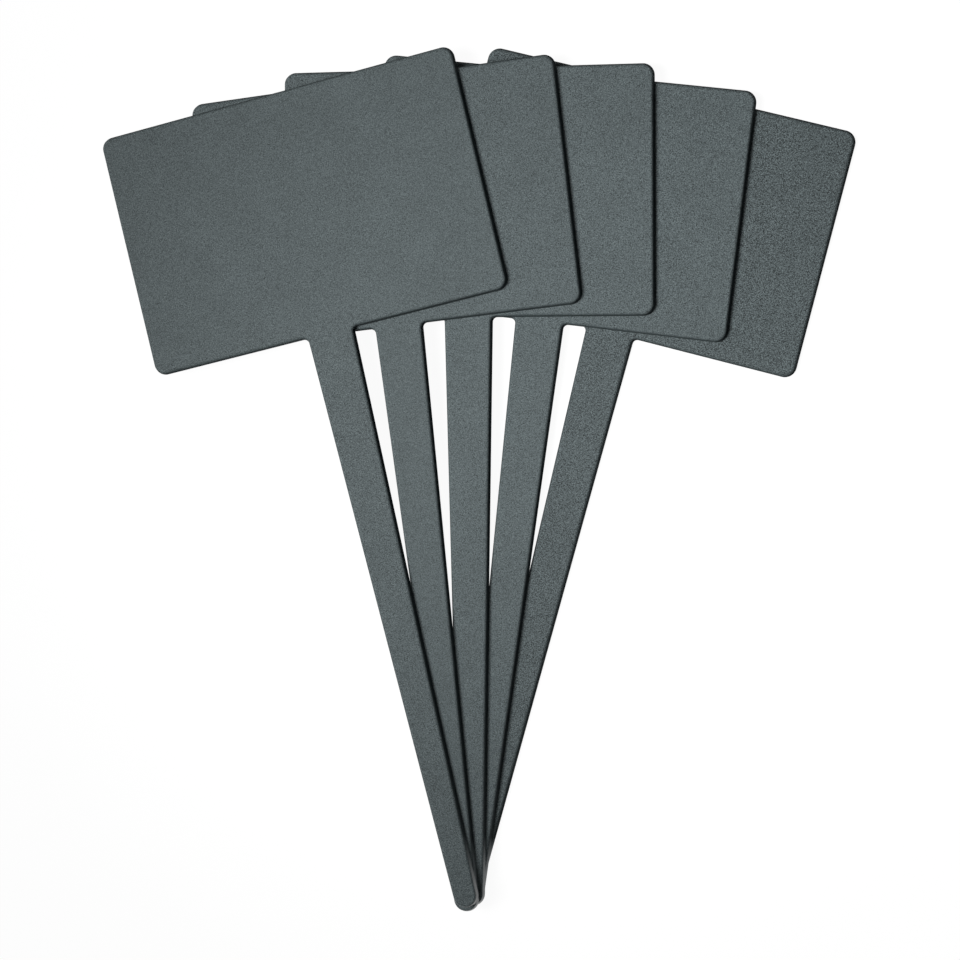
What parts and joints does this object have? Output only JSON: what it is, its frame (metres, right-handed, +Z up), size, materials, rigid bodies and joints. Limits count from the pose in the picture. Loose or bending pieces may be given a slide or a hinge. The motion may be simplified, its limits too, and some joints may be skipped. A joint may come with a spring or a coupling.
{
  "type": "plant label stake set",
  "caption": "Flat moulded T-shaped plant label stakes lying in an open fan: each a rounded writing board on a tapered stem with a round tip that pushes into soil.",
  "frame": {"origin": "under the middle of the fan, on the table that the lowest stake lies on", "axes": "+Z up out of the writing faces, +Y from the tips to the labels, +X to the right of the fan"},
  "size_m": [0.2138, 0.2444, 0.01],
  "materials": {
    "slate_plastic": "matte, fine moulded grain"
  },
  "bodies": {
    "bottom_stake": {"bottom_stake": "slate_plastic"},
    "lower_stake": {"lower_stake": "slate_plastic"},
    "middle_stake": {"middle_stake": "slate_plastic"},
    "upper_stake": {"upper_stake": "slate_plastic"},
    "top_stake": {"top_stake": "slate_plastic"}
  },
  "joints": [
    {"name": "lower_lift", "type": "slide", "parent": "bottom_stake", "child": "lower_stake", "axis": [0, 0, 1], "range_m": [0, 0.05]},
    {"name": "middle_lift", "type": "slide", "parent": "lower_stake", "child": "middle_stake", "axis": [0, 0, 1], "range_m": [0, 0.05]},
    {"name": "upper_lift", "type": "slide", "parent": "middle_stake", "child": "upper_stake", "axis": [0, 0, 1], "range_m": [0, 0.05]},
    {"name": "top_lift", "type": "slide", "parent": "upper_stake", "child": "top_stake", "axis": [0, 0, 1], "range_m": [0, 0.05]}
  ]
}
